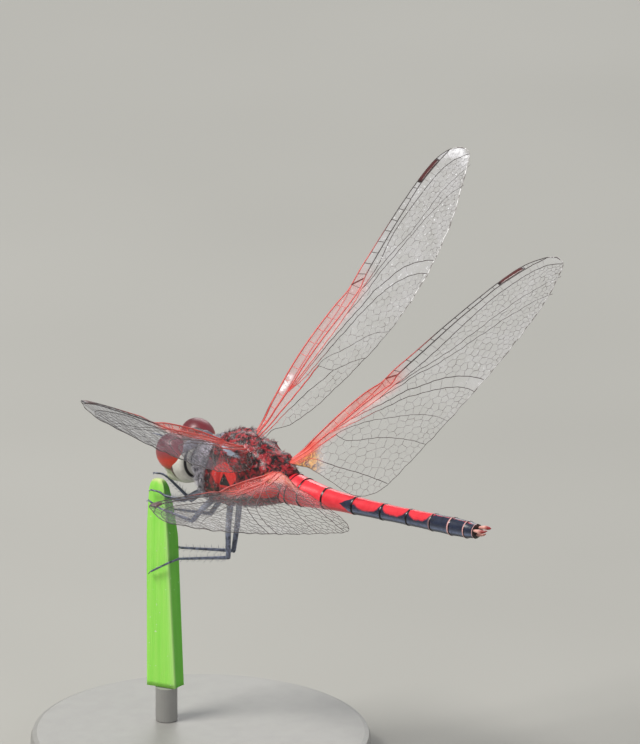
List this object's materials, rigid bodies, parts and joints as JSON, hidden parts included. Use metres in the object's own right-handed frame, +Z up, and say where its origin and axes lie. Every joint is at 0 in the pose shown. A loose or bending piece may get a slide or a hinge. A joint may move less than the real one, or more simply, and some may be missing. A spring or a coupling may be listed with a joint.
{
  "type": "perched dragonfly model",
  "caption": "Life-size male red dragonfly with raised clear wings, gripping a cut length of green stem on a round display base.",
  "frame": {"origin": "centre of the flat underside of the display base", "axes": "+Z up; the insect's head points to -Y, its tail to +Y and its left side to +X"},
  "size_m": [0.0479, 0.0464, 0.0523],
  "materials": {
    "eye": "glossy, faceted",
    "head_skin": "satin",
    "face_skin": "satin",
    "thorax_skin": "satin with short hairs",
    "abdomen_red": "semi-gloss",
    "abdomen_black": "semi-gloss",
    "tail_pink": "satin",
    "wing_film": "clear film between veins",
    "leg_black": "satin",
    "stem_green": "waxy leaf",
    "stand_grey": "smooth satin"
  },
  "bodies": {
    "root": {"abdomen_1": "abdomen_red", "abdomen_10": "abdomen_black", "abdomen_2": "abdomen_red", "abdomen_3": "abdomen_red", "abdomen_4": "abdomen_red", "abdomen_5": "abdomen_black", "abdomen_6": "abdomen_black", "abdomen_7": "abdomen_black", "abdomen_8": "abdomen_black", "abdomen_9": "abdomen_black", "antenna_left": "leg_black", "antenna_right": "leg_black", "cercus_left": "tail_pink", "cercus_right": "tail_pink", "chin": "head_skin", "epiproct": "tail_pink", "eye_left": "eye", "eye_right": "eye", "fore_leg_left_femur": "leg_black", "fore_leg_left_tarsus": "leg_black", "fore_leg_left_tibia": "leg_black", "fore_leg_right_femur": "leg_black", "fore_leg_right_tarsus": "leg_black", "fore_leg_right_tibia": "leg_black", "forewing_left": "wing_film", "forewing_right": "wing_film", "frons": "face_skin", "head": "head_skin", "hind_leg_left_femur": "leg_black", "hind_leg_left_tarsus": "leg_black", "hind_leg_left_tibia": "leg_black", "hind_leg_right_femur": "leg_black", "hind_leg_right_tarsus": "leg_black", "hind_leg_right_tibia": "leg_black", "hindwing_left": "wing_film", "hindwing_right": "wing_film", "mid_leg_left_femur": "leg_black", "mid_leg_left_tarsus": "leg_black", "mid_leg_left_tibia": "leg_black", "mid_leg_right_femur": "leg_black", "mid_leg_right_tarsus": "leg_black", "mid_leg_right_tibia": "leg_black", "mouthparts": "face_skin", "neck": "head_skin", "perch_stem": "stem_green", "prothorax": "thorax_skin", "stand_base": "stand_grey", "stand_rod": "stand_grey", "thorax": "thorax_skin"}
  },
  "joints": []
}
